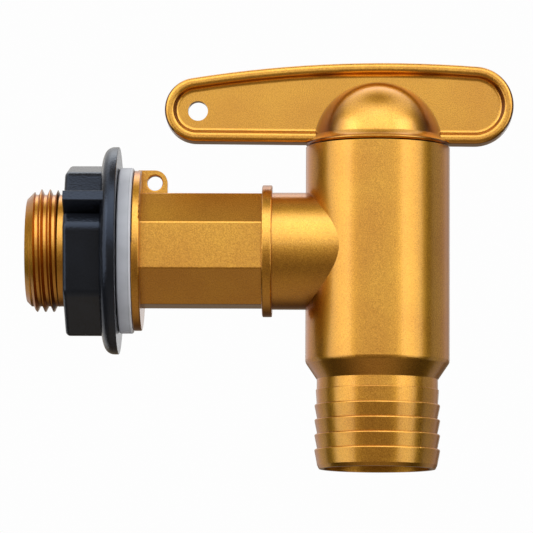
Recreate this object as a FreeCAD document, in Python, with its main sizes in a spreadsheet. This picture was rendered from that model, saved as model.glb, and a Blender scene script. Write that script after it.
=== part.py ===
import FreeCAD, Part
import math
import os
import Sketcher

# A rain barrel tap: a moulded body with a threaded spigot and a barbed outlet, a quarter-turn
# plug valve under a lever handle, and a flanged nut with its washer on the spigot.
# The origin is the middle of the flange face that clamps on the barrel wall. +X runs along the
# shank towards the outlet barrel, +Z is up, and the lever is closed, in line with the shank.

SIZES = {
    # Spigot thread and its end
    "thread_diameter": 26.44,
    "thread_pitch": 1.814,
    "thread_depth": 1.16,
    "thread_crest_flat": 0.16,
    "thread_root_flat": 0.56,
    "thread_lead": 1.54,
    "spigot_length": 22.9,
    "spigot_tip_diameter": 22.2,
    "land_start": 13.6,
    "land_width": 2.3,
    "relief_width": 2.0,
    # Clamping flange with the tether lug, and the octagonal shank behind it
    "flange_diameter": 34.5,
    "flange_thickness": 1.85,
    "lug_offset": 2.6,
    "lug_height": 14.6,
    "lug_radius": 2.73,
    "lug_hole_diameter": 3.3,
    "lug_thickness": 2.5,
    "lug_edge_rounding": 0.25,
    "shank_across_flats": 24.0,
    "shank_edge_rounding": 0.6,
    "collar_offset": 27.68,
    "collar_width": 2.15,
    "collar_diameter": 28.45,
    "neck_diameter": 25.1,
    "neck_straight": 1.2,
    # Outlet barrel
    "reach": 52.5,
    "barrel_diameter": 31.05,
    "barrel_bore": 25.2,
    "rim_height": 22.4,
    "taper_height": 24.0,
    "taper_length": 3.7,
    "outlet_drop": 46.9,
    "outlet_diameter": 26.06,
    "outlet_bore": 22.9,
    "barb_count": 5,
    "barb_drop": 29.9,
    "barb_pitch": 3.2,
    "barb_diameter": 27.1,
    "top_barb_diameter": 26.5,
    "barb_root_diameter": 25.8,
    "barb_edge_rounding": 0.3,
    "top_barb_edge_rounding": 0.15,
    "outlet_end_diameter": 25.0,
    "outlet_end_chamfer": 0.8,
    "seat_drop": 14.6,
    "inlet_bore": 17.0,
    "port_diameter": 15.0,
    "port_length": 4.4,
    # Lever handle
    "lever_gap": 0.35,
    "tail_reach": 39.05,
    "tail_rise": 8.05,
    "tail_radius": 6.94,
    "nose_reach": 20.8,
    "nose_rise": 9.09,
    "nose_radius": 8.42,
    "back_radius": 261.0,
    "bead_width": 2.2,
    "bead_thickness": 6.4,
    "bead_rounding": 0.9,
    "web_thickness": 2.6,
    "tie_hole_diameter": 4.3,
    "tie_hole_reach": 38.85,
    "tie_hole_rise": 7.9,
    "dome_radius": 13.95,
    "dome_wall": 2.4,
    "skirt_height": 2.1,
    "skirt_lip": 0.55,
    "skirt_hollow": 3.6,
    "boss_diameter": 15.0,
    "boss_drop": 4.2,
    "square_width": 7.8,
    "square_height": 7.6,
    "socket_clearance": 0.1,
    # Quarter-turn stop between the handle and the barrel rim
    "stop_tab_angle": 17.0,
    "stop_tab_thickness": 0.85,
    "stop_tab_depth": 2.7,
    "stop_play_angle": 1.6,
    "stop_clearance": 0.25,
    "lever_travel": 90.0,
    # Plug valve and what carries it
    "running_clearance": 0.05,
    "plug_setting": 6.0,
    "plug_wall": 1.25,
    "plug_crown": 2.6,
    "stem_diameter": 11.6,
    "ring_section": 1.5,
    "ring_groove_width": 2.0,
    "ring_inset": 2.4,
    "seal_overlap": 1.6,
    "seal_recess_clearance": 0.1,
    "foot_ring_width": 0.95,
    "foot_ring_thickness": 0.55,
    "bearing_washer_thickness": 0.9,
    "boss_clearance": 0.2,
    "clip_thickness": 1.2,
    "clip_groove_depth": 0.9,
    "clip_width": 2.3,
    "clip_gap_angle": 26.0,
    "clip_ear_angle": 6.5,
    "clip_ear_radius": 1.7,
    "clip_ear_hole": 1.5,
    # Handle screw
    "screw_diameter": 4.0,
    "screw_length": 20.0,
    "screw_point": 1.8,
    "screw_pitch": 1.4,
    "screw_thread_depth": 0.55,
    "screw_groove_width": 1.12,
    "screw_threaded_length": 8.0,
    "screw_head_diameter": 7.8,
    "screw_head_height": 2.5,
    "screw_head_chamfer": 0.8,
    "screw_clearance": 0.2,
    "recess_width": 1.1,
    "recess_reach": 2.15,
    "recess_depth": 1.5,
    "screw_washer_diameter": 9.4,
    "screw_washer_thickness": 0.8,
    # Washer and nut on the spigot
    "washer_clearance": 0.2,
    "washer_diameter": 35.7,
    "washer_thickness": 3.0,
    "washer_edge_rounding": 0.4,
    "nut_gap": 0.15,
    "nut_flange_diameter": 44.7,
    "nut_flange_thickness": 3.4,
    "nut_flange_rim": 0.8,
    "nut_flange_shoulder": 2.1,
    "nut_flange_shoulder_drop": 1.2,
    "nut_flange_shoulder_rounding": 2.2,
    "nut_flange_back_drop": 3.9,
    "nut_flange_back_rounding": 5.0,
    "nut_face_edge": 0.12,
    "nut_length": 11.2,
    "nut_across_flats": 35.4,
    "nut_clocking": 12.5,
    "nut_corner_rounding": 2.5,
    "nut_edge_rounding": 1.0,
    "nut_thread_clearance": 0.12,
    "grip_angle": 26.9,
    "grip_reach": 3.9,
    "grip_slot_depth": 3.0,
    "grip_thickness": 2.45,
    "grip_overlap": 2.6,
    "grip_edge_rounding": 0.25,
    "grip_slot_width": 1.1,
    # Small edges
    "soft_edge": 0.35,
    "shoulder_rounding": 1.5,
    "overshoot": 1.0,
}

doc = FreeCAD.newDocument("rain_barrel_tap")
sheet = doc.addObject("Spreadsheet::Sheet", "sizes")
for row, (alias, number) in enumerate(SIZES.items(), 1):
    sheet.set(f"A{row}", alias)
    sheet.set(f"B{row}", str(number))
    sheet.setAlias(f"B{row}", alias)
doc.recompute()


class Size:
    """A length or angle that carries the sheet formula it comes from."""

    def __init__(self, value, formula):
        self.value = float(value)
        self.formula = formula

    def __add__(self, other):
        other = as_size(other)
        return Size(self.value + other.value, f"({self.formula} + {other.formula})")

    def __sub__(self, other):
        other = as_size(other)
        return Size(self.value - other.value, f"({self.formula} - {other.formula})")

    def __rsub__(self, other):
        return as_size(other) - self

    def __mul__(self, other):
        other = as_size(other)
        return Size(self.value * other.value, f"({self.formula} * {other.formula})")

    def __truediv__(self, other):
        other = as_size(other)
        return Size(self.value / other.value, f"({self.formula} / {other.formula})")

    def __neg__(self):
        return Size(-self.value, f"(0 - {self.formula})")

    __radd__ = __add__
    __rmul__ = __mul__


def as_size(number):
    return number if isinstance(number, Size) else Size(number, repr(number))


def root(amount):
    return Size(math.sqrt(amount.value), f"sqrt({amount.formula})")


def tangent(angle):
    return Size(math.tan(math.radians(angle.value)), f"tan({angle.formula})")


def polar(radius, angle):
    """The point at a radius and an angle in degrees."""
    radius = as_size(radius)
    angle = as_size(angle)
    across = Size(math.cos(math.radians(angle.value)), f"cos({angle.formula})")
    along = Size(math.sin(math.radians(angle.value)), f"sin({angle.formula})")
    return radius * across, radius * along


class Sizes:
    """The driving dimensions, read by name."""


given = Sizes()
for alias, number in SIZES.items():
    setattr(given, alias, Size(number, "sizes." + alias))


def half(amount):
    return amount / 2


def new_body(label, at_barrel=False):
    """A body for one piece. At the barrel, its own Z axis is the barrel's axis."""
    body = doc.addObject("PartDesign::Body", label)
    body.Label = label
    if at_barrel:
        body.setExpression("Placement.Base.x", given.reach.formula)
    return body


def new_sketch(body, name, role, lift=None):
    """A sketch on one of the body's origin planes, lifted along the plane's normal."""
    sketch = body.newObject("Sketcher::SketchObject", name)
    plane = [feature for feature in body.Origin.OriginFeatures if feature.Role == role][0]
    sketch.AttachmentSupport = (plane, [""])
    sketch.MapMode = "FlatFace"
    if lift is not None:
        sketch.setExpression("AttachmentOffset.Base.z", as_size(lift).formula)
    return sketch


def constrain(sketch, constraint, amount=None):
    index = sketch.addConstraint(constraint)
    if isinstance(amount, Size):
        sketch.setExpression(f"Constraints[{index}]", amount.formula)


def place_point(sketch, geometry, position, across, along):
    """Tie a point to the sketch origin, or to an axis where its distance is zero."""
    for kind, axis, amount in (("DistanceX", -2, across), ("DistanceY", -1, along)):
        amount = as_size(amount)
        if amount.formula in ("0", "0.0"):
            constrain(sketch, Sketcher.Constraint("PointOnObject", geometry, position, axis))
        else:
            rule = Sketcher.Constraint(kind, -1, 1, geometry, position, amount.value)
            constrain(sketch, rule, amount)


def arc_between(start, end, radius):
    """An arc from start to end: a positive radius turns left on the way, a negative one right."""
    middle = (start + end) * 0.5
    chord = end - start
    side = FreeCAD.Vector(-chord.y, chord.x, 0).normalize()
    rise = math.sqrt(max(radius ** 2 - (chord.Length / 2) ** 2, 0))
    turn = 1 if radius > 0 else -1
    centre = middle + side * rise * turn
    first, last = (start, end) if turn > 0 else (end, start)
    start_angle = math.atan2(first.y - centre.y, first.x - centre.x)
    end_angle = math.atan2(last.y - centre.y, last.x - centre.x)
    circle = Part.Circle(centre, FreeCAD.Vector(0, 0, 1), abs(radius))
    return Part.ArcOfCircle(circle, start_angle, end_angle)


def draw_outline(sketch, corners):
    """A closed outline. A corner is (across, along), or (across, along, radius) where an arc starts."""
    corners = [tuple(as_size(number) for number in corner) for corner in corners]
    points = [FreeCAD.Vector(corner[0].value, corner[1].value, 0) for corner in corners]
    ends = []
    for index, corner in enumerate(corners):
        start = points[index]
        end = points[(index + 1) % len(points)]
        if len(corner) == 3:
            geometry = sketch.addGeometry(arc_between(start, end, corner[2].value), False)
            ends.append((geometry, 1, 2) if corner[2].value > 0 else (geometry, 2, 1))
        else:
            ends.append((sketch.addGeometry(Part.LineSegment(start, end), False), 1, 2))
    for index, (geometry, start, end) in enumerate(ends):
        following = ends[(index + 1) % len(ends)]
        constrain(sketch, Sketcher.Constraint("Coincident", geometry, end, following[0], following[1]))
    for corner, (geometry, start, end) in zip(corners, ends):
        place_point(sketch, geometry, start, corner[0], corner[1])
        if len(corner) == 3:
            radius = corner[2] if corner[2].value > 0 else -corner[2]
            constrain(sketch, Sketcher.Constraint("Radius", geometry, radius.value), radius)


def draw_circle(sketch, across, along, radius):
    across, along, radius = as_size(across), as_size(along), as_size(radius)
    centre = FreeCAD.Vector(across.value, along.value, 0)
    geometry = sketch.addGeometry(Part.Circle(centre, FreeCAD.Vector(0, 0, 1), radius.value), False)
    place_point(sketch, geometry, 3, across, along)
    constrain(sketch, Sketcher.Constraint("Radius", geometry, radius.value), radius)


def add_feature(body, kind, name, sketch):
    feature = body.newObject("PartDesign::" + kind, name)
    feature.Profile = sketch
    return feature


def check_volume(before, feature, grows):
    """Stop where a feature points away from the solid and so changes nothing."""
    doc.recompute()
    change = feature.Shape.Volume - before
    if (change > 0) != grows or abs(change) < 1e-3:
        raise ValueError(f"{feature.Name} changes the volume by {change}")


def revolve(body, name, corners, axis, cut=False):
    """Turn an outline in the XZ plane about the body's X or Z axis, to add or to cut."""
    before = body.Shape.Volume if body.Tip else 0
    sketch = new_sketch(body, name + "_section", "XZ_Plane")
    draw_outline(sketch, corners)
    feature = add_feature(body, "Groove" if cut else "Revolution", name, sketch)
    feature.ReferenceAxis = (sketch, ["H_Axis" if axis == "X" else "V_Axis"])
    feature.Angle = 360
    check_volume(before, feature, not cut)
    return feature


def extrude(body, name, sketch, length, cut=False, symmetric=False):
    """Pad a sketch along its plane's normal, or pocket the solid that way."""
    before = body.Shape.Volume if body.Tip else 0
    feature = add_feature(body, "Pocket" if cut else "Pad", name, sketch)
    feature.setExpression("Length", as_size(length).formula)
    feature.Midplane = symmetric
    feature.Reversed = cut and not symmetric
    check_volume(before, feature, not cut)
    return feature


def cut_helix(body, name, corners, pitch, height, axis="X"):
    """Cut a right-hand thread: the outline of one groove, carried along the axis."""
    before = body.Shape.Volume
    sketch = new_sketch(body, name + "_section", "XZ_Plane")
    draw_outline(sketch, corners)
    feature = add_feature(body, "SubtractiveHelix", name, sketch)
    feature.ReferenceAxis = (sketch, ["H_Axis" if axis == "X" else "V_Axis"])
    feature.Mode = "pitch-height-angle"
    feature.setExpression("Pitch", pitch.formula)
    feature.setExpression("Height", height.formula)
    check_volume(before, feature, False)
    return feature


def soften(body, name, radius, chosen):
    """Round the edges that the test picks from the body's shape."""
    doc.recompute()
    base = body.Tip
    edges = [f"Edge{number}" for number, edge in enumerate(base.Shape.Edges, 1) if chosen(edge)]
    if not edges:
        raise ValueError(f"{name} finds no edge")
    feature = body.newObject("PartDesign::Fillet", name)
    feature.Base = (base, edges)
    feature.setExpression("Radius", radius.formula)
    doc.recompute()
    return feature


def near(first, second):
    return abs(first - second) < 1e-4


def is_ring(edge, radius, axis, place):
    """Whether an edge is a full circle of a radius about the X or Z axis, at a place along it."""
    curve = edge.Curve
    if not isinstance(curve, Part.Circle) or not edge.isClosed():
        return False
    along = curve.Center.x if axis == "X" else curve.Center.z
    turned = abs(curve.Axis.x if axis == "X" else curve.Axis.z)
    return near(curve.Radius, radius) and near(along, place) and turned > 0.99


def runs_along_x(edge):
    """Whether an edge is a straight line along X."""
    if not isinstance(edge.Curve, Part.Line):
        return False
    return abs(edge.tangentAt(edge.FirstParameter).x) > 0.999


thread_radius = half(given.thread_diameter)
thread_root = thread_radius - given.thread_depth
barrel_radius = half(given.barrel_diameter)
bore_radius = half(given.barrel_bore)
first_groove = -(given.spigot_length + given.thread_lead)
shank_half = half(given.shank_across_flats)
collar_end = given.collar_offset + given.collar_width
lug_across = given.flange_thickness + given.lug_offset
stop_recess_radius = bore_radius + given.stop_tab_thickness + given.stop_clearance * 2
half_tab = half(given.stop_tab_angle)

# Thread form: a groove of the spigot's thread, and the ridge left between two grooves
flank_spread = half(given.thread_pitch - given.thread_crest_flat - given.thread_root_flat)
flank_slope = flank_spread / given.thread_depth
groove_skim = 0.1

# An octagon's corners lie this far either side of the middle of a flat
octagon_half_angle = as_size(22.5)


def thread_groove(centre):
    """One groove of the spigot's thread, from its root to just above the crests."""
    bottom = half(given.thread_root_flat)
    top = bottom + flank_slope * (given.thread_depth + groove_skim)
    outside = thread_radius + groove_skim
    return [(centre - bottom, thread_root), (centre + bottom, thread_root),
            (centre + top, outside), (centre - top, outside)]


def tap_body():
    """One moulding: spigot, flange, lug, octagonal shank, collar, neck, barrel and hose tail."""
    body = new_body("tap_body")
    tip = half(given.spigot_tip_diameter)
    land_end = given.land_start + given.land_width
    land_flank = flank_slope * given.thread_depth
    core = shank_half - given.overshoot
    revolve(body, "spigot_and_collar", [
        (-given.spigot_length, 0),
        (-given.spigot_length, tip),
        (-given.spigot_length + thread_radius - tip, thread_radius),
        (-land_end - land_flank, thread_radius),
        (-land_end, thread_root),
        (-given.land_start, thread_root),
        (-given.land_start + land_flank, thread_radius),
        (-given.relief_width, thread_radius),
        (-given.relief_width, thread_root),
        (0, thread_root),
        (0, half(given.flange_diameter)),
        (given.flange_thickness, half(given.flange_diameter)),
        (given.flange_thickness, core),
        (given.collar_offset, core),
        (given.collar_offset, half(given.collar_diameter)),
        (collar_end, half(given.collar_diameter)),
        (collar_end, 0),
    ], "X")

    sketch = new_sketch(body, "shank_octagon", "YZ_Plane", half(given.flange_thickness))
    face_half = shank_half * tangent(octagon_half_angle)
    octagon = [(face_half, shank_half), (-face_half, shank_half),
               (-shank_half, face_half), (-shank_half, -face_half),
               (-face_half, -shank_half), (face_half, -shank_half),
               (shank_half, -face_half), (shank_half, face_half)]
    draw_outline(sketch, octagon)
    shank_length = given.collar_offset + half(given.collar_width) - half(given.flange_thickness)
    extrude(body, "shank", sketch, shank_length)
    soften(body, "shank_edges", given.shank_edge_rounding, lambda edge: runs_along_x(edge)
           and edge.Length > half(shank_length).value)

    rim = half(given.flange_diameter).value
    collar = half(given.collar_diameter).value
    rings = [(rim, 0), (rim, given.flange_thickness.value),
             (collar, given.collar_offset.value), (collar, collar_end.value)]
    soften(body, "flange_edges", given.soft_edge,
           lambda edge: any(is_ring(edge, radius, "X", place) for radius, place in rings))

    # The neck is two half rounds, one in each half of the mould, with a short straight between
    neck = half(given.neck_diameter)
    side = half(given.neck_straight)
    neck_start = given.collar_offset + half(given.collar_width)
    sketch = new_sketch(body, "neck_outline", "YZ_Plane", neck_start)
    draw_outline(sketch, [
        (-side, -neck), (side, -neck, neck), (side + neck, 0, neck),
        (side, neck), (-side, neck, neck), (-side - neck, 0, neck),
    ])
    extrude(body, "neck", sketch, given.reach - neck_start)

    sketch = new_sketch(body, "lug_outline", "XZ_Plane")
    draw_outline(sketch, [
        (half(given.flange_thickness), shank_half - given.overshoot),
        (lug_across + given.lug_radius, shank_half - given.overshoot),
        (lug_across + given.lug_radius, given.lug_height, given.lug_radius),
        (lug_across, given.lug_height + given.lug_radius),
        (half(given.flange_thickness), given.lug_height + given.lug_radius),
    ])
    extrude(body, "lug", sketch, given.lug_thickness, symmetric=True)
    sketch = new_sketch(body, "lug_hole_outline", "XZ_Plane")
    draw_circle(sketch, lug_across, given.lug_height, half(given.lug_hole_diameter))
    extrude(body, "lug_hole", sketch, given.lug_thickness + given.overshoot, cut=True, symmetric=True)
    hole_radius = half(given.lug_hole_diameter).value
    soften(body, "lug_hole_edges", given.lug_edge_rounding,
           lambda edge: isinstance(edge.Curve, Part.Circle) and edge.isClosed()
           and near(edge.Curve.Radius, hole_radius))

    add_barrel(body)
    cut_waterway(body)
    cut_rim(body)
    cut_helix(body, "spigot_thread", thread_groove(first_groove), given.thread_pitch,
              -first_groove - half(given.relief_width))
    return body


def revolve_barrel(body, name, corners, cut=False):
    """Turn an outline about the barrel's axis."""
    before = body.Shape.Volume
    sketch = new_sketch(body, name + "_section", "XZ_Plane")
    sketch.setExpression("AttachmentOffset.Base.x", given.reach.formula)
    draw_outline(sketch, corners)
    feature = add_feature(body, "Groove" if cut else "Revolution", name, sketch)
    feature.ReferenceAxis = (sketch, ["V_Axis"])
    feature.Angle = 360
    check_volume(before, feature, not cut)
    return feature


def add_barrel(body):
    """The upright barrel, its taper and the barbed hose tail."""
    tail = half(given.outlet_diameter)
    taper_end = given.taper_height + given.taper_length
    section = [(0, given.rim_height), (barrel_radius, given.rim_height),
               (barrel_radius, -given.taper_height), (tail, -taper_end), (tail, -given.barb_drop)]
    for number in range(int(SIZES["barb_count"])):
        top = given.barb_drop + given.barb_pitch * number
        width = given.top_barb_diameter if number == 0 else given.barb_diameter
        root = given.outlet_diameter if number == 0 else given.barb_root_diameter
        section.append((half(width), -top))
        is_last = number == int(SIZES["barb_count"]) - 1
        bottom = given.outlet_drop - given.outlet_end_chamfer if is_last else top + given.barb_pitch
        section.append((half(root), -bottom))
    section.append((half(given.outlet_end_diameter), -given.outlet_drop))
    section.append((0, -given.outlet_drop))
    revolve_barrel(body, "barrel", section)
    soften(body, "barrel_shoulder", given.shoulder_rounding,
           lambda edge: is_ring(edge, barrel_radius.value, "Z", -given.taper_height.value))
    soften(body, "top_barb_edge", given.top_barb_edge_rounding,
           lambda edge: is_ring(edge, half(given.top_barb_diameter).value, "Z", -given.barb_drop.value))
    tops = [(given.barb_drop + given.barb_pitch * number).value
            for number in range(1, int(SIZES["barb_count"]))]
    soften(body, "barb_edges", given.barb_edge_rounding,
           lambda edge: any(is_ring(edge, half(given.barb_diameter).value, "Z", -top) for top in tops))


def cut_waterway(body):
    """The barrel's bore with its seat, the outlet and the inlet with its narrower port."""
    above = given.rim_height + given.overshoot
    below = given.outlet_drop + given.overshoot
    revolve_barrel(body, "barrel_bore", [
        (0, above), (bore_radius, above), (bore_radius, -given.seat_drop),
        (half(given.outlet_bore), -given.seat_drop), (half(given.outlet_bore), -below), (0, -below),
    ], cut=True)
    port_start = given.reach - bore_radius - given.port_length
    revolve(body, "inlet_bore", [
        (-given.spigot_length - given.overshoot, 0),
        (-given.spigot_length - given.overshoot, half(given.inlet_bore)),
        (port_start, half(given.inlet_bore)),
        (port_start, half(given.port_diameter)),
        (given.reach, half(given.port_diameter)),
        (given.reach, 0),
    ], "X", cut=True)
    floor = clip_bottom
    revolve_barrel(body, "clip_groove", [
        (bore_radius - given.overshoot, floor),
        (bore_radius + given.clip_groove_depth, floor),
        (bore_radius + given.clip_groove_depth, floor + given.clip_thickness + given.running_clearance * 2),
        (bore_radius - given.overshoot, floor + given.clip_thickness + given.running_clearance * 2),
    ], cut=True)


def cut_rim(body):
    """The sector in the barrel's rim that the handle's stop tab swings in."""
    sketch = new_sketch(body, "stop_sector", "XY_Plane", given.rim_height)
    sketch.setExpression("AttachmentOffset.Base.x", given.reach.formula)
    first = -half_tab - given.stop_play_angle
    last = half_tab + given.stop_play_angle + given.lever_travel
    inside = bore_radius - given.overshoot
    draw_outline(sketch, [
        polar(inside, first),
        polar(stop_recess_radius, first) + (stop_recess_radius,),
        polar(stop_recess_radius, last),
        polar(inside, last) + (-inside,),
    ])
    before = body.Shape.Volume
    feature = add_feature(body, "Pocket", "stop_recess", sketch)
    feature.setExpression("Length", (given.stop_tab_depth + given.stop_clearance).formula)
    check_volume(before, feature, False)


# The plug hangs from the barrel's rim and reaches down to the foot ring on the seat
plug_radius = bore_radius - given.running_clearance
plug_top = given.rim_height - given.plug_setting
plug_foot = given.foot_ring_thickness + given.running_clearance - given.seat_drop
upper_ring = plug_top - given.ring_inset
lower_ring = plug_foot + given.ring_inset
clip_bottom = plug_top + given.bearing_washer_thickness + given.running_clearance * 2
crown_underside = plug_top - given.plug_crown
stem_shoulder = given.rim_height - given.boss_drop
square_top = stem_shoulder + given.square_height
groove_floor = plug_radius - given.ring_section
seal_radius = half(given.port_diameter) + given.seal_overlap


def draw_lever_outline(sketch, inset):
    """The lever's outline: two round ends, a long bowed back and a straight underside."""
    tail_radius = given.tail_radius - inset
    nose_radius = given.nose_radius - inset
    back_radius = given.back_radius - inset
    tail = (-given.tail_reach, given.rim_height + given.tail_rise)
    nose = (given.nose_reach, given.rim_height + given.nose_rise)
    start = FreeCAD.Vector(tail[0].value, tail[1].value, 0)
    end = FreeCAD.Vector(nose[0].value, nose[1].value, 0)

    # The back's centre lies where circles about the two end centres cross, far below the lever
    span = end - start
    to_start = back_radius.value - tail_radius.value
    to_end = back_radius.value - nose_radius.value
    share = (to_start ** 2 - to_end ** 2 + span.Length ** 2) / (2 * span.Length)
    depth = math.sqrt(to_start ** 2 - share ** 2)
    direction = FreeCAD.Vector(span).normalize()
    down = FreeCAD.Vector(direction.y, -direction.x, 0)
    centre = start + direction * share + down * depth
    back_end = centre + (start - centre).normalize() * back_radius.value
    back_start = centre + (end - centre).normalize() * back_radius.value

    # The underside touches both round ends
    lean = (tail_radius.value - nose_radius.value) / span.Length
    touch = direction * lean + down * math.sqrt(1 - lean ** 2)
    under_start = start + touch * tail_radius.value
    under_end = end + touch * nose_radius.value

    def arc(middle, radius, first, last):
        circle = Part.Circle(middle, FreeCAD.Vector(0, 0, 1), radius.value)
        first_angle = math.atan2(first.y - middle.y, first.x - middle.x)
        last_angle = math.atan2(last.y - middle.y, last.x - middle.x)
        return sketch.addGeometry(Part.ArcOfCircle(circle, first_angle, last_angle), False)

    tail_arc = arc(start, tail_radius, back_end, under_start)
    underside = sketch.addGeometry(Part.LineSegment(under_start, under_end), False)
    nose_arc = arc(end, nose_radius, under_end, back_start)
    back = arc(centre, back_radius, back_start, back_end)
    chain = [tail_arc, underside, nose_arc, back]
    for index, geometry in enumerate(chain):
        following = chain[(index + 1) % len(chain)]
        constrain(sketch, Sketcher.Constraint("Tangent", geometry, 2, following, 1))
    place_point(sketch, tail_arc, 3, tail[0], tail[1])
    place_point(sketch, nose_arc, 3, nose[0], nose[1])
    for geometry, radius in ((tail_arc, tail_radius), (nose_arc, nose_radius), (back, back_radius)):
        constrain(sketch, Sketcher.Constraint("Radius", geometry, radius.value), radius)


def lever_handle():
    """One moulding: a thin web with a raised bead all round, a hollow dome and a square socket."""
    body = new_body("lever_handle", at_barrel=True)
    sketch = new_sketch(body, "lever_web_outline", "XZ_Plane")
    draw_lever_outline(sketch, as_size(0))
    extrude(body, "lever_web", sketch, given.web_thickness, symmetric=True)

    sketch = new_sketch(body, "lever_bead_outline", "XZ_Plane")
    draw_lever_outline(sketch, as_size(0))
    draw_lever_outline(sketch, given.bead_width)
    extrude(body, "lever_bead", sketch, given.bead_thickness, symmetric=True)
    bead_side = half(given.bead_thickness).value
    soften(body, "bead_edges", given.bead_rounding,
           lambda edge: near(abs(edge.BoundBox.YMin), bead_side)
           and near(edge.BoundBox.YMin, edge.BoundBox.YMax))
    web_side = half(given.web_thickness).value
    soften(body, "web_edges", given.bead_rounding,
           lambda edge: near(abs(edge.BoundBox.YMin), web_side)
           and near(edge.BoundBox.YMin, edge.BoundBox.YMax))

    base = given.rim_height + given.lever_gap
    boss = half(given.boss_diameter)
    skirt_radius = root(given.dome_radius * given.dome_radius - given.skirt_height * given.skirt_height)
    revolve(body, "dome", [
        (0, stem_shoulder),
        (boss, stem_shoulder),
        (boss, base),
        (barrel_radius - given.soft_edge, base),
        (barrel_radius, base + given.soft_edge),
        (barrel_radius, base + given.skirt_lip, -given.skirt_hollow),
        (skirt_radius, base + given.skirt_height, given.dome_radius),
        (0, base + given.dome_radius),
    ], "Z")
    cavity = given.dome_radius - given.dome_wall
    cavity_top = base + root(cavity * cavity - boss * boss)
    revolve(body, "dome_cavity", [
        (boss, given.rim_height - given.overshoot),
        (cavity, given.rim_height - given.overshoot),
        (cavity, base, cavity),
        (boss, cavity_top),
    ], "Z", cut=True)

    sketch = new_sketch(body, "socket_outline", "XY_Plane", stem_shoulder)
    side = half(given.square_width) + given.socket_clearance
    draw_outline(sketch, [(side, side), (-side, side), (-side, -side), (side, -side)])
    extrude(body, "socket", sketch, given.square_height + given.socket_clearance, cut=True)
    sketch = new_sketch(body, "pilot_outline", "XY_Plane", stem_shoulder)
    draw_circle(sketch, 0, 0, half(given.screw_diameter))
    pilot_depth = crown_underside - given.screw_washer_thickness + given.screw_length - stem_shoulder
    extrude(body, "pilot_hole", sketch, pilot_depth + given.screw_clearance, cut=True)

    sketch = new_sketch(body, "tie_hole_outline", "XZ_Plane")
    draw_circle(sketch, -given.tie_hole_reach, given.rim_height + given.tie_hole_rise,
                half(given.tie_hole_diameter))
    extrude(body, "tie_hole", sketch, given.bead_thickness, cut=True, symmetric=True)

    sketch = new_sketch(body, "stop_tab_outline", "XY_Plane", given.rim_height - given.stop_tab_depth)
    inside = bore_radius + given.stop_clearance
    outside = inside + given.stop_tab_thickness
    draw_outline(sketch, [
        polar(inside, -half_tab),
        polar(outside, -half_tab) + (outside,),
        polar(outside, half_tab),
        polar(inside, half_tab) + (-inside,),
    ])
    extrude(body, "stop_tab", sketch, given.stop_tab_depth + half(given.skirt_height))
    return body


def valve_plug():
    """The hollow plug, open below, with a side port, seal grooves and a square-ended stem."""
    body = new_body("plug_blank", at_barrel=True)
    cavity = groove_floor - given.plug_wall
    groove_half = half(given.ring_groove_width)
    stem = half(given.stem_diameter)
    section = [(cavity, plug_foot), (plug_radius, plug_foot)]
    for ring in (lower_ring, upper_ring):
        section += [(plug_radius, ring - groove_half), (groove_floor, ring - groove_half),
                    (groove_floor, ring + groove_half), (plug_radius, ring + groove_half)]
    section += [(plug_radius, plug_top), (stem, plug_top), (stem, stem_shoulder),
                (0, stem_shoulder), (0, crown_underside), (cavity, crown_underside)]
    revolve(body, "plug_shell", section, "Z")
    sketch = new_sketch(body, "square_outline", "XY_Plane", stem_shoulder - given.soft_edge)
    side = half(given.square_width)
    draw_outline(sketch, [(side, side), (-side, side), (-side, -side), (side, -side)])
    extrude(body, "stem_square", sketch, given.square_height + given.soft_edge)
    sketch = new_sketch(body, "screw_hole_outline", "XY_Plane", crown_underside - given.overshoot)
    draw_circle(sketch, 0, 0, half(given.screw_diameter) + given.screw_clearance)
    extrude(body, "screw_hole", sketch, square_top - crown_underside + given.overshoot * 2, cut=True)
    sketch = new_sketch(body, "plug_port_outline", "XZ_Plane")
    draw_circle(sketch, 0, 0, half(given.port_diameter))
    before = body.Shape.Volume
    feature = add_feature(body, "Pocket", "plug_port", sketch)
    feature.setExpression("Length", (plug_radius + given.overshoot).formula)
    check_volume(before, feature, False)

    recess = seal_disc("seal_recess_disc", seal_radius + given.seal_recess_clearance,
                       plug_radius + given.overshoot)
    floor = doc.addObject("Part::Cylinder", "seal_recess_floor")
    floor.setExpression("Placement.Base.x", given.reach.formula)
    floor.setExpression("Placement.Base.z", plug_foot.formula)
    floor.setExpression("Radius", groove_floor.formula)
    floor.setExpression("Height", (plug_top - plug_foot).formula)
    pocket = doc.addObject("Part::Cut", "seal_recess")
    pocket.Base = recess
    pocket.Tool = floor
    plug = doc.addObject("Part::Cut", "valve_plug")
    plug.Label = "valve_plug"
    plug.Base = body
    plug.Tool = pocket
    return plug


def seal_disc(name, radius, length):
    """A round bar from the barrel's axis towards the inlet."""
    disc = doc.addObject("Part::Cylinder", name)
    disc.Placement = FreeCAD.Placement(FreeCAD.Vector(0, 0, 0), FreeCAD.Rotation(FreeCAD.Vector(0, 1, 0), -90))
    disc.setExpression("Placement.Base.x", given.reach.formula)
    disc.setExpression("Radius", radius.formula)
    disc.setExpression("Height", length.formula)
    return disc


def port_seal():
    """The rubber pad in the plug's wall that covers the inlet port when the tap is closed."""
    tube = new_body("seal_tube", at_barrel=True)
    beyond = seal_radius + given.overshoot
    revolve(tube, "seal_tube_wall", [
        (groove_floor, -beyond), (plug_radius, -beyond), (plug_radius, beyond), (groove_floor, beyond),
    ], "Z")
    disc = seal_disc("seal_pad_disc", seal_radius, plug_radius + given.overshoot)
    pad = doc.addObject("Part::Common", "port_seal")
    pad.Label = "port_seal"
    pad.Base = tube
    pad.Tool = disc
    return pad


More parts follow.
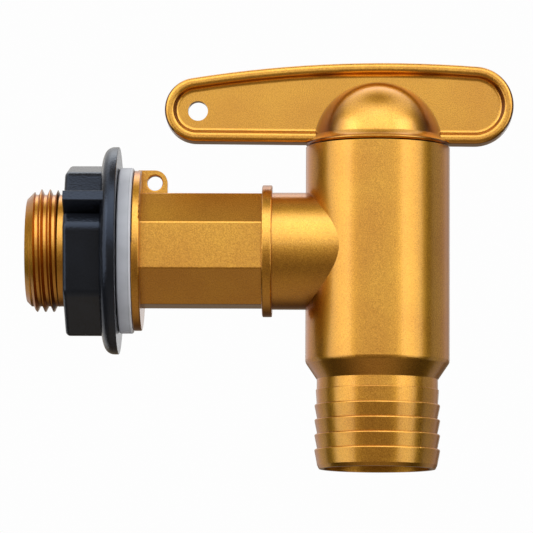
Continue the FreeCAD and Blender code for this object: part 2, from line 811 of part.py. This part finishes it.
def sealing_ring(label, height):
    """A rubber ring of round section in one of the plug's grooves."""
    ring = doc.addObject("Part::Torus", label)
    ring.Label = label
    ring.setExpression("Placement.Base.x", given.reach.formula)
    ring.setExpression("Placement.Base.z", height.formula)
    ring.setExpression("Radius1", (groove_floor + half(given.ring_section)).formula)
    ring.setExpression("Radius2", half(given.ring_section).formula)
    return ring


def flat_ring(label, inside, outside, bottom, top):
    """A plain ring about the barrel's axis."""
    body = new_body(label, at_barrel=True)
    revolve(body, label + "_turned", [(inside, bottom), (outside, bottom), (outside, top), (inside, top)], "Z")
    return body


def foot_ring():
    """The slippery ring on the barrel's inner seat that carries the plug's lower rim."""
    return flat_ring("foot_ring", plug_radius - given.foot_ring_width, plug_radius,
                     -given.seat_drop, given.foot_ring_thickness - given.seat_drop)


def bearing_washer():
    """The washer between the plug's crown and the retaining clip."""
    bottom = plug_top + given.running_clearance
    return flat_ring("bearing_washer", half(given.boss_diameter) + given.boss_clearance, plug_radius,
                     bottom, bottom + given.bearing_washer_thickness)


def retaining_clip():
    """The sprung steel clip in the barrel's groove, with two pierced ears at its gap."""
    outside = bore_radius + given.clip_groove_depth - given.running_clearance
    inside = outside - given.clip_width
    bottom = clip_bottom + given.running_clearance
    body = flat_ring("retaining_clip", inside, outside, bottom, bottom + given.clip_thickness)
    ear_angle = half(given.clip_gap_angle) + given.clip_ear_angle
    ear_place = inside - half(given.clip_ear_radius)
    sketch = new_sketch(body, "ear_outline", "XY_Plane", bottom)
    for side in (1, -1):
        across, along = polar(ear_place, Size(180, "180") + ear_angle * side)
        draw_circle(sketch, across, along, given.clip_ear_radius)
    extrude(body, "ears", sketch, given.clip_thickness)
    sketch = new_sketch(body, "ear_hole_outline", "XY_Plane", bottom)
    for side in (1, -1):
        across, along = polar(ear_place, Size(180, "180") + ear_angle * side)
        draw_circle(sketch, across, along, half(given.clip_ear_hole))
    extrude(body, "ear_holes", sketch, given.clip_thickness, cut=True)
    sketch = new_sketch(body, "gap_outline", "XY_Plane", bottom)
    reach_out = outside + given.overshoot
    gap = half(given.clip_gap_angle)
    draw_outline(sketch, [
        (0, 0),
        polar(reach_out, Size(180, "180") - gap) + (reach_out,),
        polar(reach_out, Size(180, "180") + gap),
    ])
    extrude(body, "clip_gap", sketch, given.clip_thickness, cut=True)
    return body


def handle_screw():
    """A pan-head screw, driven from below through the plug's crown into the handle's boss."""
    body = new_body("handle_screw", at_barrel=True)
    seat = crown_underside - given.screw_washer_thickness
    end = seat + given.screw_length
    shank = half(given.screw_diameter)
    head = half(given.screw_head_diameter)
    face = seat - given.screw_head_height
    chamfer = given.screw_head_chamfer
    revolve(body, "screw_blank", [
        (0, face), (head - chamfer, face), (head, face + chamfer), (head, seat), (shank, seat),
        (shank, end - given.screw_point), (0, end),
    ], "Z")
    sketch = new_sketch(body, "recess_outline", "XY_Plane", face)
    arm = half(given.recess_width)
    tip = given.recess_reach
    draw_outline(sketch, [
        (tip, -arm), (tip, arm), (arm, arm), (arm, tip), (-arm, tip), (-arm, arm),
        (-tip, arm), (-tip, -arm), (-arm, -arm), (-arm, -tip), (arm, -tip), (arm, -arm),
    ])
    extrude(body, "recess", sketch, given.recess_depth, cut=True)
    start = end - given.screw_threaded_length
    groove = half(given.screw_groove_width)
    cut_helix(body, "screw_thread", [
        (shank - given.screw_thread_depth, start), (shank + groove_skim, start + groove),
        (shank + groove_skim, start - groove),
    ], given.screw_pitch, given.screw_threaded_length + given.screw_pitch, axis="Z")
    return body


def screw_washer():
    return flat_ring("screw_washer", half(given.screw_diameter) + given.screw_clearance,
                     half(given.screw_washer_diameter),
                     crown_underside - given.screw_washer_thickness, crown_underside)


washer_bore = thread_radius + given.washer_clearance
nut_face = -given.washer_thickness - given.nut_gap
nut_end = nut_face - given.nut_length
nut_flange_back = nut_face - given.nut_flange_thickness


def barrel_washer():
    """The thick soft washer against the tap's flange, with rounded rims."""
    body = new_body("barrel_washer")
    outside = half(given.washer_diameter)
    revolve(body, "washer_ring", [
        (-given.washer_thickness, washer_bore), (-given.washer_thickness, outside),
        (0, outside), (0, washer_bore),
    ], "X")
    soften(body, "washer_wall_edge", given.washer_edge_rounding,
           lambda edge: is_ring(edge, outside.value, "X", -given.washer_thickness.value))
    soften(body, "washer_flange_edge", given.soft_edge,
           lambda edge: is_ring(edge, outside.value, "X", 0))
    return body


def lies_at(edge, place):
    """Whether an edge lies in the plane across X at a place."""
    return near(edge.BoundBox.XMin, place) and near(edge.BoundBox.XMax, place)


def from_axis(edge):
    """How far the middle of an edge is from the X axis."""
    return math.hypot(edge.CenterOfMass.y, edge.CenterOfMass.z)


def back_nut():
    """The flanged eight-sided nut with two slotted grip wings and a real internal thread."""
    body = new_body("back_nut")
    flange = half(given.nut_flange_diameter)
    flat = half(given.nut_across_flats)
    core = flat - given.overshoot
    shoulder = nut_face - given.nut_flange_rim - given.nut_flange_shoulder
    revolve(body, "nut_flange", [
        (nut_end, 0), (nut_end, core), (nut_flange_back, core),
        (nut_flange_back, flange - given.nut_flange_back_drop, -given.nut_flange_back_rounding),
        (shoulder, flange - given.nut_flange_shoulder_drop, -given.nut_flange_shoulder_rounding),
        (nut_face - given.nut_flange_rim, flange),
        (nut_face - given.nut_face_edge, flange),
        (nut_face, flange - given.nut_face_edge), (nut_face, 0),
    ], "X")

    sketch = new_sketch(body, "nut_octagon", "YZ_Plane", nut_end)
    flat_end = (flat - given.nut_corner_rounding) * tangent(octagon_half_angle)
    outline = []
    for step in range(8):
        facing = given.nut_clocking + 45 * step
        outline += [turned(flat, -flat_end, facing),
                    turned(flat, flat_end, facing) + (given.nut_corner_rounding,)]
    draw_outline(sketch, outline)
    extrude(body, "nut_flats", sketch, given.nut_length - half(given.nut_flange_thickness))
    end = nut_end.value
    soften(body, "nut_end_edges", given.nut_edge_rounding,
           lambda edge: lies_at(edge, end) and edge.Length > given.overshoot.value)

    grip_tip = flat + given.grip_reach
    grip_root = flat - given.grip_slot_depth
    wing_length = given.nut_length - given.nut_flange_thickness + given.grip_overlap
    slot_side = half(given.grip_thickness) + given.grip_slot_width
    for number in range(2):
        wing = Size(180, "180") - given.grip_angle + 180 * number
        sketch = new_sketch(body, f"slot_outline_{number + 1}", "YZ_Plane", nut_end)
        draw_outline(sketch, [
            turned(radius, across, wing) for radius, across in (
                (grip_root, 0), (grip_tip, 0),
                (grip_tip, slot_side), (grip_root, slot_side))
        ])
        before = body.Shape.Volume
        feature = add_feature(body, "Pocket", f"slot_{number + 1}", sketch)
        feature.setExpression("Length", (given.nut_length - given.nut_flange_thickness).formula)
        feature.Reversed = True
        check_volume(before, feature, False)
        sketch = new_sketch(body, f"wing_outline_{number + 1}", "YZ_Plane", nut_end)
        draw_outline(sketch, [
            turned(radius, across, wing) for radius, across in (
                (grip_root - given.soft_edge, -half(given.grip_thickness)),
                (grip_tip, -half(given.grip_thickness)),
                (grip_tip, half(given.grip_thickness)),
                (grip_root - given.soft_edge, half(given.grip_thickness)))
        ])
        extrude(body, f"wing_{number + 1}", sketch, wing_length)
    soften(body, "wing_edges", given.grip_edge_rounding,
           lambda edge: from_axis(edge) > grip_tip.value - given.grip_edge_rounding.value
           and (runs_along_x(edge) or lies_at(edge, end)))

    minor = thread_root + given.nut_thread_clearance * 2
    mouth = thread_radius + given.nut_thread_clearance
    skim = given.nut_thread_clearance
    revolve(body, "nut_bore", [
        (nut_end - skim, 0), (nut_end - skim, mouth), (nut_end, mouth),
        (nut_end + (mouth - minor), minor),
        (nut_face - (mouth - minor), minor),
        (nut_face, mouth), (nut_face + skim, mouth), (nut_face + skim, 0),
    ], "X", cut=True)

    # The nut's groove is the spigot's ridge grown by the thread clearance
    ridge = first_groove + half(given.thread_pitch)
    top = thread_radius + given.nut_thread_clearance
    bottom = minor - groove_skim
    tip = half(given.thread_crest_flat) + given.nut_thread_clearance
    foot = tip + flank_slope * (top - bottom)
    cut_helix(body, "nut_thread", [
        (ridge - foot, bottom), (ridge - tip, top), (ridge + tip, top), (ridge + foot, bottom),
    ], given.thread_pitch, nut_face - ridge + given.thread_pitch)
    return body


def turned(radius, across, angle):
    """A point at a distance along a direction and a distance to its left."""
    out = polar(radius, angle)
    side = polar(across, angle + 90)
    return out[0] + side[0], out[1] + side[1]


PIECES = [
    tap_body(), lever_handle(), valve_plug(), port_seal(),
    sealing_ring("upper_sealing_ring", upper_ring),
    sealing_ring("lower_sealing_ring", lower_ring),
    foot_ring(), bearing_washer(), retaining_clip(), handle_screw(), screw_washer(),
    barrel_washer(), back_nut(),
]

doc.recompute()
for item in doc.Objects:
    if "Invalid" in item.State or "Error" in item.State:
        raise ValueError(f"{item.Name} is {item.State}")
os.makedirs("parts", exist_ok=True)
for piece in PIECES:
    if piece.Shape.isNull() or not piece.Shape.isValid():
        raise ValueError(f"{piece.Label} has no valid shape")
    if len(piece.Shape.Solids) != 1:
        raise ValueError(f"{piece.Label} has {len(piece.Shape.Solids)} solids")
for piece in PIECES:
    piece.Shape.exportStep(f"parts/{piece.Label}.step")
    print(f"{piece.Label}: {piece.Shape.Volume / 1000:.3f} cm3")
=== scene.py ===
import math
import bpy
from mathutils import Euler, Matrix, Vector

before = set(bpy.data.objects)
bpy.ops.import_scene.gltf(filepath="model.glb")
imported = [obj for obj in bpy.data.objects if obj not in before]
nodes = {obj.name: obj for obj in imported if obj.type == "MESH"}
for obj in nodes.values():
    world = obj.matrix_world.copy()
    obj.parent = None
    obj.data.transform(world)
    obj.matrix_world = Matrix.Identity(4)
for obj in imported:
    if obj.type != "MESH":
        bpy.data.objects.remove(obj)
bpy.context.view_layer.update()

# TAP BODY
# One moulding in glass-filled nylon, from the threaded spigot and its flange to the upright barrel
# and the barbed hose tail, sprayed with a satin brass-effect lacquer.
MM = 0.001


def linear(code):
    """An sRGB hex colour as the shader's linear RGBA."""
    channels = [int(code[place:place + 2], 16) / 255 for place in (1, 3, 5)]
    return [c / 12.92 if c <= 0.04045 else ((c + 0.055) / 1.055) ** 2.4 for c in channels] + [1]


def add_node(tree, kind, settings=None, inputs=None, stops=None):
    """A node with its settings, inputs and ramp stops.

    An input is a value or a (node, output) link. A stop is a place from 0 to 1 with a hex colour,
    or with the strength of a white light, which may pass 1.
    """
    node = tree.nodes.new(kind)
    for name, value in (settings or {}).items():
        setattr(node, name, value)
    for name, value in (inputs or {}).items():
        if isinstance(value, tuple) and isinstance(value[0], bpy.types.Node):
            tree.links.new(value[0].outputs[value[1]], node.inputs[name])
        else:
            node.inputs[name].default_value = value
    for index, (position, shade) in enumerate(stops or []):
        elements = node.color_ramp.elements
        element = elements[index] if index < len(elements) else elements.new(position)
        element.position = position
        element.color = linear(shade) if isinstance(shade, str) else (shade, shade, shade, 1)
    return node


def new_material(name):
    """An empty node material, its tree and the object's own coordinates."""
    material = bpy.data.materials.new(name)
    material.use_nodes = True
    tree = material.node_tree
    tree.nodes.clear()
    return material, tree, add_node(tree, "ShaderNodeTexCoord")


def dress(name, material):
    """Give a piece from the frame its finish."""
    slots = nodes[name].data.materials
    slots.clear()
    slots.append(material)


def brass_lacquer(name, side_shade_tone):
    """Sprayed satin lacquer: leafing flake under a thin clear coat, so it glints in fine specks.

    The real flake is about 0.05 mm; it is drawn at 0.22 mm, which is as fine as the picture shows.
    Within the groove reach of a corner the colour is darker: painted shade in corners and grooves.
    Faces turned along the shank go over to a darker shade tone from side_on to end_on: painted shade.
    That tone is no known trait of the lacquer: it is set to match how dark the dome's sides are on
    the lever.
    """
    material, tree, place = new_material(name)
    flake_size = 0.22 * MM
    flake_height = 0.014 * MM
    peel_size = 1.6 * MM
    peel_height = 0.02 * MM
    cloud_size = 14 * MM
    groove_reach = 0.5 * MM
    side_on = 0.48
    end_on = 0.74
    flake = add_node(tree, "ShaderNodeTexNoise", None,
                     {"Vector": (place, "Object"), "Scale": 1 / flake_size, "Detail": 1.0})
    peel = add_node(tree, "ShaderNodeTexNoise", None,
                    {"Vector": (place, "Object"), "Scale": 1 / peel_size, "Detail": 1.0})
    cloud = add_node(tree, "ShaderNodeTexNoise", None,
                     {"Vector": (place, "Object"), "Scale": 1 / cloud_size, "Detail": 2.0})
    tone = add_node(tree, "ShaderNodeValToRGB", None, {"Fac": (flake, "Fac")},
                    [(0.3, "#C2861C"), (0.7, "#E6AC38")])
    drift = add_node(tree, "ShaderNodeValToRGB", None, {"Fac": (cloud, "Fac")},
                     [(0.35, "#F4ECE4"), (0.65, "#FFFFFF")])
    # Painted shade: the colour darkens in corners and grooves within the groove reach
    corner = add_node(tree, "ShaderNodeAmbientOcclusion", {"samples": 6}, {"Distance": groove_reach})
    painted_corner_shade = add_node(tree, "ShaderNodeValToRGB", None, {"Fac": (corner, "AO")},
                      [(0.2, "#A07A48"), (0.6, "#FFFFFF")])
    colour = add_node(tree, "ShaderNodeMix", {"data_type": "RGBA", "blend_type": "MULTIPLY"},
                      {0: 1.0, 6: (tone, "Color"), 7: (drift, "Color")})
    shaded = add_node(tree, "ShaderNodeMix", {"data_type": "RGBA", "blend_type": "MULTIPLY"},
                      {0: 1.0, 6: (colour, 2), 7: (painted_corner_shade, "Color")})
    # Painted shade: faces turned along the shank darken towards the given shade tone
    facing = add_node(tree, "ShaderNodeSeparateXYZ", None, {"Vector": (place, "Normal")})
    sideways = add_node(tree, "ShaderNodeMath", {"operation": "ABSOLUTE"}, {0: (facing, "X")})
    thin = add_node(tree, "ShaderNodeValToRGB", None, {"Fac": (sideways, "Value")},
                    [(side_on, "#FFFFFF"), (end_on, side_shade_tone)])
    sprayed = add_node(tree, "ShaderNodeMix", {"data_type": "RGBA", "blend_type": "MULTIPLY"},
                       {0: 1.0, 6: (shaded, 2), 7: (thin, "Color")})
    rough = add_node(tree, "ShaderNodeMapRange", None,
                     {"Value": (flake, "Fac"), "From Min": 0.3, "From Max": 0.7,
                      "To Min": 0.28, "To Max": 0.36})
    flakes = add_node(tree, "ShaderNodeBump", None,
                      {"Strength": 0.9, "Distance": flake_height, "Height": (flake, "Fac")})
    relief = add_node(tree, "ShaderNodeBump", None,
                      {"Strength": 0.3, "Distance": peel_height, "Height": (peel, "Fac"),
                       "Normal": (flakes, "Normal")})
    shader = add_node(tree, "ShaderNodeBsdfPrincipled", None,
                      {"Base Color": (sprayed, 2), "Metallic": 1.0, "Roughness": (rough, "Result"),
                       "Normal": (relief, "Normal"), "Specular Tint": linear("#B48A52"),
                       "Coat Weight": 1.0, "Coat Roughness": 0.2, "Coat IOR": 1.5})
    add_node(tree, "ShaderNodeOutputMaterial", None, {"Surface": (shader, "BSDF")})
    return material


dress("tap_body", brass_lacquer("satin_brass_effect_lacquer", side_shade_tone="#FFFFFF"))

# FOOT RING
# A thin slip ring that the plug's lower end turns on. It is moulded in white acetal and pressed in
# at the seat.


def moulded_plastic(name, code, roughness, grain_size, mottle="#E8E8E8",
                    grain_height=0.02 * MM, sheen="#FFFFFF"):
    """Injection-moulded plastic or rubber: an even colour with the spark-eroded grain of its mould.

    The real grain is about 0.1 mm; it is drawn as coarse as it needs to show. The mottle is the
    tone of the faint clouds in the colour, and the sheen is the tone of the gloss.
    """
    material, tree, place = new_material(name)
    cloud_size = 9 * MM
    grain = add_node(tree, "ShaderNodeTexNoise", None,
                     {"Vector": (place, "Object"), "Scale": 1 / grain_size, "Detail": 2.0})
    cloud = add_node(tree, "ShaderNodeTexNoise", None,
                     {"Vector": (place, "Object"), "Scale": 1 / cloud_size, "Detail": 2.0})
    tone = add_node(tree, "ShaderNodeValToRGB", None, {"Fac": (cloud, "Fac")},
                    [(0.3, mottle), (0.7, "#FFFFFF")])
    colour = add_node(tree, "ShaderNodeMix", {"data_type": "RGBA", "blend_type": "MULTIPLY"},
                      {0: 1.0, 6: linear(code), 7: (tone, "Color")})
    rough = add_node(tree, "ShaderNodeMapRange", None,
                     {"Value": (grain, "Fac"), "From Min": 0.3, "From Max": 0.7,
                      "To Min": roughness * 0.85, "To Max": roughness * 1.15})
    relief = add_node(tree, "ShaderNodeBump", None,
                      {"Strength": 0.4, "Distance": grain_height, "Height": (grain, "Fac")})
    shader = add_node(tree, "ShaderNodeBsdfPrincipled", None,
                      {"Base Color": (colour, 2), "Roughness": (rough, "Result"),
                       "Specular Tint": linear(sheen), "Normal": (relief, "Normal")})
    add_node(tree, "ShaderNodeOutputMaterial", None, {"Surface": (shader, "BSDF")})
    return material


dress("foot_ring", moulded_plastic("moulded_white_slip_acetal", "#D9D7D0", 0.32, 0.4 * MM))

# VALVE PLUG
# The hollow quarter-turn plug, moulded in off-white acetal, with its square stem up into the
# handle.
acetal = moulded_plastic("moulded_off_white_acetal", "#DAD9D2", 0.35, 0.5 * MM)
dress("valve_plug", acetal)

# SEALS
# The moulded port seal set in the plug's side, and the two sealing rings in its grooves, all in
# black nitrile rubber that has been wiped with silicone grease.
nitrile = moulded_plastic("greased_black_nitrile_rubber", "#131313", 0.28, 0.3 * MM, mottle="#C8C8C8")
for name in ("port_seal", "lower_sealing_ring", "upper_sealing_ring"):
    dress(name, nitrile)

# BEARING WASHER AND RETAINING CLIP
# A flat washer in the plug's acetal lies on its shoulder. A clip of ground spring steel, sprung
# into the bore's groove, holds it down.
dress("bearing_washer", acetal)


def drawn_steel(name, code, roughness, mark_size):
    """Steel with the fine marks of grinding or drawing, which squeeze draws out round the piece.

    The real marks are about 0.05 mm wide; they are drawn as coarse as they need to show.
    """
    material, tree, place = new_material(name)
    squeeze = (1, 1, 6)
    mark_height = 0.01 * MM
    drawn_out = add_node(tree, "ShaderNodeMapping", None,
                         {"Vector": (place, "Object"), "Scale": squeeze})
    marks = add_node(tree, "ShaderNodeTexNoise", None,
                     {"Vector": (drawn_out, "Vector"), "Scale": 1 / mark_size, "Detail": 3.0})
    tone = add_node(tree, "ShaderNodeValToRGB", None, {"Fac": (marks, "Fac")},
                    [(0.3, code), (0.7, "#D6D7D9")])
    rough = add_node(tree, "ShaderNodeMapRange", None,
                     {"Value": (marks, "Fac"), "To Min": roughness * 0.8, "To Max": roughness * 1.2})
    relief = add_node(tree, "ShaderNodeBump", None,
                      {"Strength": 0.3, "Distance": mark_height, "Height": (marks, "Fac")})
    shader = add_node(tree, "ShaderNodeBsdfPrincipled", None,
                      {"Base Color": (tone, "Color"), "Metallic": 1.0, "Roughness": (rough, "Result"),
                       "Normal": (relief, "Normal")})
    add_node(tree, "ShaderNodeOutputMaterial", None, {"Surface": (shader, "BSDF")})
    return material


dress("retaining_clip", drawn_steel("ground_spring_steel", "#A4A6AA", 0.32, 0.6 * MM))

# LEVER HANDLE
# A moulded lever with a thick bead round a thin web, a domed hub over the barrel and a hole for a
# tie near its tail, in the same nylon and lacquer as the body.
# The lever's faces turned along the shank get a painted shade of #887C70
dress("lever_handle", brass_lacquer("handle_brass_effect_lacquer", side_shade_tone="#887C70"))

# HANDLE SCREW
# A self-tapping screw and its washer, both in bright stainless steel, hold the handle down on the
# plug's stem.
stainless = drawn_steel("bright_stainless_steel", "#B9BABC", 0.24, 0.5 * MM)
for name in ("screw_washer", "handle_screw"):
    dress(name, stainless)

# BARREL WASHER
# A thick soft washer in grey rubber, moulded smooth, that seals the flange to the barrel's wall.
# It has a bloom of fine pale dust, and along its rim next to the flange a dark line and a lighter band.


def grey_rubber():
    """Smooth moulded rubber with a dusty bloom, a dark line and a lighter band by the flange."""
    material, tree, place = new_material("moulded_grey_rubber")
    washer_thickness = 3 * MM
    bloom_size = 6 * MM
    grain_size = 0.25 * MM
    grain_height = 0.012 * MM
    axes = add_node(tree, "ShaderNodeSeparateXYZ", None, {"Vector": (place, "Object")})
    along = add_node(tree, "ShaderNodeMapRange", None,
                     {"Value": (axes, "X"), "From Min": -washer_thickness, "From Max": 0.0})
    rim = add_node(tree, "ShaderNodeValToRGB", None, {"Fac": (along, "Result")},
                   [(0.0, "#B0B2BA"), (0.12, "#B4B6BF"), (0.78, "#B4B6BD"), (0.82, "#9C9EA5"),
                    (0.86, "#B9BBC1"), (1.0, "#C3C4C9")])
    bloom = add_node(tree, "ShaderNodeTexNoise", None,
                     {"Vector": (place, "Object"), "Scale": 1 / bloom_size, "Detail": 3.0})
    dust = add_node(tree, "ShaderNodeValToRGB", None, {"Fac": (bloom, "Fac")},
                    [(0.3, "#E9E9E9"), (0.7, "#FFFFFF")])
    colour = add_node(tree, "ShaderNodeMix", {"data_type": "RGBA", "blend_type": "MULTIPLY"},
                      {0: 1.0, 6: (rim, "Color"), 7: (dust, "Color")})
    grain = add_node(tree, "ShaderNodeTexNoise", None,
                     {"Vector": (place, "Object"), "Scale": 1 / grain_size, "Detail": 2.0})
    rough = add_node(tree, "ShaderNodeMapRange", None,
                     {"Value": (grain, "Fac"), "To Min": 0.36, "To Max": 0.5})
    relief = add_node(tree, "ShaderNodeBump", None,
                      {"Strength": 0.3, "Distance": grain_height, "Height": (grain, "Fac")})
    shader = add_node(tree, "ShaderNodeBsdfPrincipled", None,
                      {"Base Color": (colour, 2), "Roughness": (rough, "Result"),
                       "Normal": (relief, "Normal")})
    add_node(tree, "ShaderNodeOutputMaterial", None, {"Surface": (shader, "BSDF")})
    return material


dress("barrel_washer", grey_rubber())

# BACK NUT
# The flanged nut that clamps the barrel's wall: an eight-sided body with two slotted grip wings,
# moulded in black polypropylene with a fine even grain and a low gloss that is a little blue.
dress("back_nut", moulded_plastic("moulded_black_polypropylene", "#14161B", 0.2, 0.45 * MM,
                                  mottle="#D0D0D0", grain_height=0.13 * MM, sheen="#CBDDFF"))

# LAMPS
# A tall soft box at each side of the camera, and two dimmer ones low behind the object. They shine
# at its middle and are a little cool.
scene = bpy.context.scene
scene.view_settings.view_transform = "Standard"
middle_of_tap = Vector((0.045, 0, -0.005))
daylight = (0.95, 0.98, 1.0)


def soft_box(name, azimuth, elevation, distance, width, height, power):
    """A soft box that faces the tap's middle: azimuth 0 is in front, towards the camera."""
    lamp = bpy.data.lights.new(name, "AREA")
    lamp.shape = "RECTANGLE"
    lamp.size = width
    lamp.size_y = height
    lamp.energy = power
    lamp.color = daylight
    box = bpy.data.objects.new(name, lamp)
    flat = math.cos(math.radians(elevation)) * distance
    offset = Vector((math.sin(math.radians(azimuth)) * flat, -math.cos(math.radians(azimuth)) * flat,
                     math.sin(math.radians(elevation)) * distance))
    box.location = middle_of_tap + offset
    box.rotation_euler = offset.to_track_quat("Z", "Y").to_euler()
    box.visible_camera = False
    scene.collection.objects.link(box)


soft_box("left_box", azimuth=-65, elevation=9, distance=1.2, width=0.98, height=1.45, power=6.5)
soft_box("right_box", azimuth=57, elevation=9, distance=1.2, width=0.8, height=1.45, power=5.2)
soft_box("back_left_box", azimuth=-135, elevation=-4, distance=1.2, width=1.1, height=1.2, power=2.2)
soft_box("back_right_box", azimuth=120, elevation=-4, distance=1.2, width=1.1, height=1.2, power=1.5)

# FLOOR
# A pale painted floor well below the tap, under the camera's line of sight, with the faint stipple
# of a roller. The tap's metal doesn't mirror it.
floor_half = 1.5
floor_height = -0.2
stipple_size = 2 * MM
stipple_height = 0.05 * MM
floor_data = bpy.data.meshes.new("floor")
floor_data.from_pydata([(-floor_half, -floor_half, floor_height), (floor_half, -floor_half, floor_height),
                        (floor_half, floor_half, floor_height), (-floor_half, floor_half, floor_height)],
                       [], [(0, 1, 2, 3)])
floor = bpy.data.objects.new("floor", floor_data)
scene.collection.objects.link(floor)
floor_paint, tree, place = new_material("pale_floor_paint")
stipple = add_node(tree, "ShaderNodeTexNoise", None,
                   {"Vector": (place, "Object"), "Scale": 1 / stipple_size, "Detail": 2.0})
relief = add_node(tree, "ShaderNodeBump", None,
                  {"Strength": 0.1, "Distance": stipple_height, "Height": (stipple, "Fac")})
shader = add_node(tree, "ShaderNodeBsdfPrincipled", None,
                  {"Base Color": linear("#C6C6C6"), "Roughness": 0.8, "Normal": (relief, "Normal")})
add_node(tree, "ShaderNodeOutputMaterial", None, {"Surface": (shader, "BSDF")})
floor_data.materials.append(floor_paint)
floor.visible_glossy = False

# ROOM
# A white backdrop all round for the camera, and for the tap a room of soft light that is brightest
# high in front, with dim sides where the soft boxes draw the barrel's two long highlights.
world = bpy.data.worlds.new("studio")
scene.world = world
world.use_nodes = True
tree = world.node_tree
tree.nodes.clear()
multiply = {"operation": "MULTIPLY"}
larger = {"operation": "MAXIMUM"}
unit = {"From Min": -1.0, "From Max": 1.0}
backdrop_white = 0.985
brightest = 2.5

# A direction is read as three numbers from 0 to 1, and 0.5 is the middle of each: its width from
# left to right, its depth from the camera's side to the far side, and its height from below
place = add_node(tree, "ShaderNodeTexCoord")
axes = add_node(tree, "ShaderNodeSeparateXYZ", None, {"Vector": (place, "Generated")})
width = add_node(tree, "ShaderNodeMapRange", None, {"Value": (axes, "X"), **unit})
depth = add_node(tree, "ShaderNodeMapRange", None, {"Value": (axes, "Y"), **unit})
height = add_node(tree, "ShaderNodeMapRange", None, {"Value": (axes, "Z"), **unit})

# Bands of light by height, dimmer towards the far left and right
overhead = add_node(tree, "ShaderNodeValToRGB", None, {"Fac": (height, "Result")},
                    [(0, 0.55), (0.025, 0.52), (0.065, 0.35), (0.15, 0.22), (0.25, 0.22),
                     (0.35, 0.32), (0.465, 0.5), (0.535, 0.63), (0.55, 0.73), (0.57, 1.18),
                     (0.6, 1.32), (0.64, 1.4), (0.67, 1.6), (0.735, 2.05), (0.82, 2.35),
                     (0.9, 2.0), (0.94, 1.4), (0.965, 1.05), (0.985, 0.72), (1, 0.52)])
across = add_node(tree, "ShaderNodeValToRGB", None, {"Fac": (width, "Result")},
                  [(0.025, 0.3), (0.075, 0.4), (0.14, 1), (0.83, 1), (0.9, 0.45), (0.975, 0.3)])
high = add_node(tree, "ShaderNodeMath", multiply, {0: (overhead, "Color"), 1: (across, "Color")})

# The light falls off away from the camera's side, except in a strip above and below
sides = add_node(tree, "ShaderNodeValToRGB", None, {"Fac": (depth, "Result")},
                 [(0.25, 1), (0.325, 0.77), (0.4, 0.42), (0.5, 0.3), (0.65, 0.3), (0.85, 0.38),
                  (1, 0.5)])
above = add_node(tree, "ShaderNodeValToRGB", None, {"Fac": (height, "Result")},
                 [(0, 0.75), (0.075, 0.75), (0.2, 0.2), (0.75, 0.2), (0.85, 0.9), (0.94, 1.7),
                  (0.975, 1.2), (1, 0.45)])
strip = add_node(tree, "ShaderNodeValToRGB", None, {"Fac": (width, "Result")},
                 [(0.1, 0.15), (0.275, 0.55), (0.425, 1), (0.575, 1), (0.725, 0.55), (0.9, 0.15)])
middle = add_node(tree, "ShaderNodeMath", multiply, {0: (above, "Color"), 1: (strip, "Color")})
spread = add_node(tree, "ShaderNodeMath", larger, {0: (sides, "Color"), 1: (middle, "Value")})
room = add_node(tree, "ShaderNodeMath", multiply, {0: (high, "Value"), 1: (spread, "Value")})

# The camera sees the white backdrop all round; metal mirrors it only where it stands, behind
backdrop = add_node(tree, "ShaderNodeValToRGB", None, {"Fac": (depth, "Result")},
                    [(0.8, 0), (0.9, 0.2), (0.96, 0.4), (0.9825, 0.6), (0.995, 1)])
above_floor = add_node(tree, "ShaderNodeValToRGB", None, {"Fac": (height, "Result")},
                       [(0.5, 0), (0.52, 1), (0.555, 1), (0.59, 0.15), (1, 0.15)])
behind = add_node(tree, "ShaderNodeMath", multiply, {0: (backdrop, "Color"), 1: (above_floor, "Color")})
rays = add_node(tree, "ShaderNodeLightPath")
mirrored = add_node(tree, "ShaderNodeMath", multiply, {0: (rays, "Is Glossy Ray"), 1: (behind, "Value")})
seen = add_node(tree, "ShaderNodeMath", larger,
                {0: (rays, "Is Camera Ray"), 1: (rays, "Is Transmission Ray")})
shown = add_node(tree, "ShaderNodeMath", larger, {0: (seen, "Value"), 1: (mirrored, "Value")})
strength = add_node(tree, "ShaderNodeMix", {"data_type": "FLOAT"},
                    {0: (shown, "Value"), 2: (room, "Value"), 3: backdrop_white})

# The room's dim parts are a little warm and its bright ones a little cool
level = add_node(tree, "ShaderNodeMapRange", None, {"Value": (strength, 0), "From Max": brightest})
tint = add_node(tree, "ShaderNodeValToRGB", None, {"Fac": (level, "Result")},
                [(0.14, "#FFE6C4"), (0.24, "#FFF3E4"), (0.32, "#FFFFFF"), (0.5, "#FFFFFF"),
                 (0.8, "#FBFEFF")])
light = add_node(tree, "ShaderNodeBackground", None, {"Color": (tint, "Color"), "Strength": (strength, 0)})
add_node(tree, "ShaderNodeOutputWorld", None, {"Surface": (light, "Background")})

# CAMERA
# A long lens a metre away, a little below the tap and looking slightly up, as the photograph was
# taken.
lens = bpy.data.cameras.new("camera")
lens.sensor_width = 36
lens.lens = 305.98
camera = bpy.data.objects.new("camera", lens)
camera.location = (0.0489, -0.970, -0.1058)
pitch = math.radians(90 + 6.03)
yaw = math.radians(1.2)
roll = math.radians(0.28)
turn = Euler((pitch, 0, yaw)).to_matrix() @ Euler((0, 0, roll)).to_matrix()
camera.rotation_euler = turn.to_euler()
scene.collection.objects.link(camera)
scene.camera = camera
